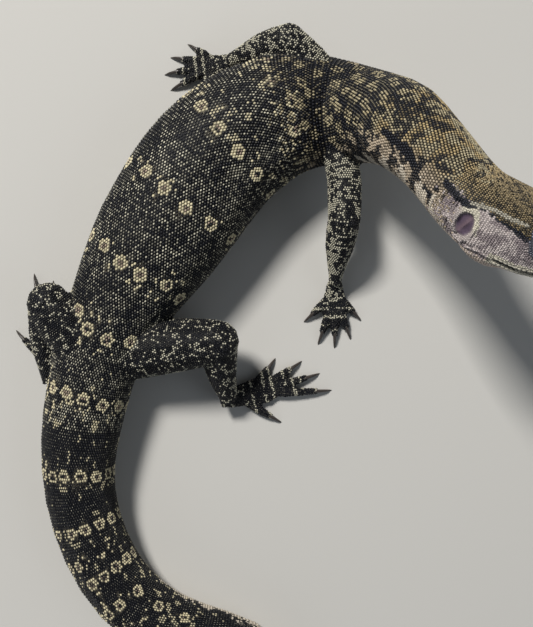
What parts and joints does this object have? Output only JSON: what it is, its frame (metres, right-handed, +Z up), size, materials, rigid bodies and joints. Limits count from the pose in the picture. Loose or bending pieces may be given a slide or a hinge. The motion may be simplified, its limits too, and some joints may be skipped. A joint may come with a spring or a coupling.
{
  "type": "water monitor lizard model",
  "caption": "Life-size still model of a young water monitor lizard resting on its belly, body and tail curved in an S, neck and head raised and turned.",
  "frame": {"origin": "middle of the model's bounding box, on the floor it rests on", "axes": "+Z up, +Y along the longer extent from the tail's bend towards the shoulders, +X towards the side the head turns to"},
  "size_m": [0.23, 0.3519, 0.0868],
  "materials": {
    "skin_dark": "scaled skin, black with cream rings and flecks",
    "skin_olive": "scaled skin, olive brown mottled with black",
    "eye": "wet gloss",
    "claw_horn": "satin horn"
  },
  "bodies": {
    "root": {"head": "skin_olive", "neck": "skin_olive", "torso": "skin_dark", "hips": "skin_dark", "tail_base": "skin_dark", "tail_middle": "skin_dark", "tail_rear": "skin_dark", "tail_whip": "skin_dark", "upper_arm_right": "skin_dark", "forearm_right": "skin_dark", "hand_right": "skin_dark", "upper_arm_left": "skin_dark", "forearm_left": "skin_dark", "hand_left": "skin_dark", "thigh_right": "skin_dark", "shank_right": "skin_dark", "foot_right": "skin_dark", "thigh_left": "skin_dark", "shank_left": "skin_dark", "foot_left": "skin_dark", "eye_right": "eye", "eye_left": "eye", "claw_front_right_finger_1": "claw_horn", "claw_front_right_finger_2": "claw_horn", "claw_front_right_finger_3": "claw_horn", "claw_front_right_finger_4": "claw_horn", "claw_front_right_finger_5": "claw_horn", "claw_front_left_finger_1": "claw_horn", "claw_front_left_finger_2": "claw_horn", "claw_front_left_finger_3": "claw_horn", "claw_front_left_finger_4": "claw_horn", "claw_front_left_finger_5": "claw_horn", "claw_rear_right_toe_1": "claw_horn", "claw_rear_right_toe_2": "claw_horn", "claw_rear_right_toe_3": "claw_horn", "claw_rear_right_toe_4": "claw_horn", "claw_rear_right_toe_5": "claw_horn", "claw_rear_left_toe_1": "claw_horn", "claw_rear_left_toe_2": "claw_horn", "claw_rear_left_toe_3": "claw_horn", "claw_rear_left_toe_4": "claw_horn", "claw_rear_left_toe_5": "claw_horn"}
  },
  "joints": []
}
